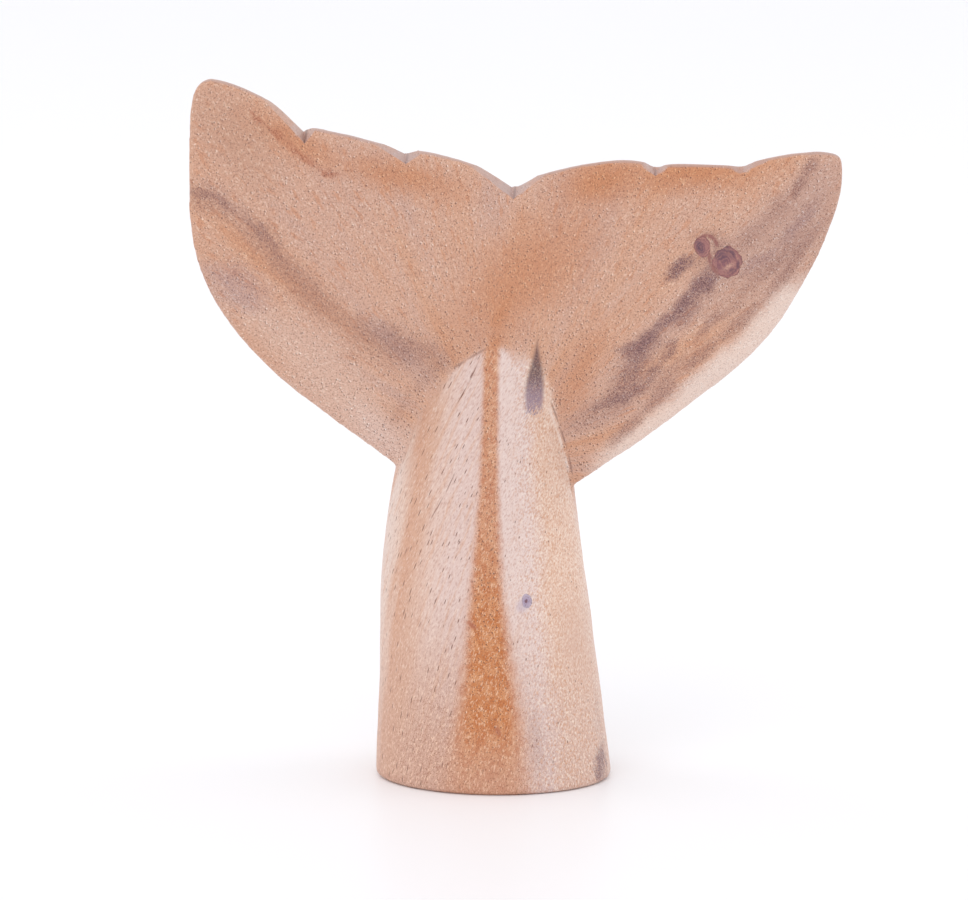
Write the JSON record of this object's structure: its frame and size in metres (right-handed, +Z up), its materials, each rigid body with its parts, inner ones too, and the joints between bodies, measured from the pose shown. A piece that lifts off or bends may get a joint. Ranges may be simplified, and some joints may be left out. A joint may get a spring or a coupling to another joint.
{
  "type": "carved wooden dolphin tail sculpture",
  "caption": "Free-standing carved wooden dolphin tail: a tapering round stem on a flat foot opens into broad upright flukes with a notched, scalloped upper edge.",
  "frame": {"origin": "middle of the flat foot that the carving stands on", "axes": "+Z up, the carved front looks along -Y, +X to the right as seen from the front"},
  "size_m": [0.1807, 0.0536, 0.1993],
  "materials": {
    "carved_wood": "open-pored hardwood, sanded satin",
    "knot_wood": "dense dark branch wood, sanded satin"
  },
  "bodies": {
    "root": {"carved_tail": "carved_wood", "fluke_knot_large": "knot_wood", "fluke_knot_small": "knot_wood", "stem_pin_knot": "knot_wood"}
  },
  "joints": []
}
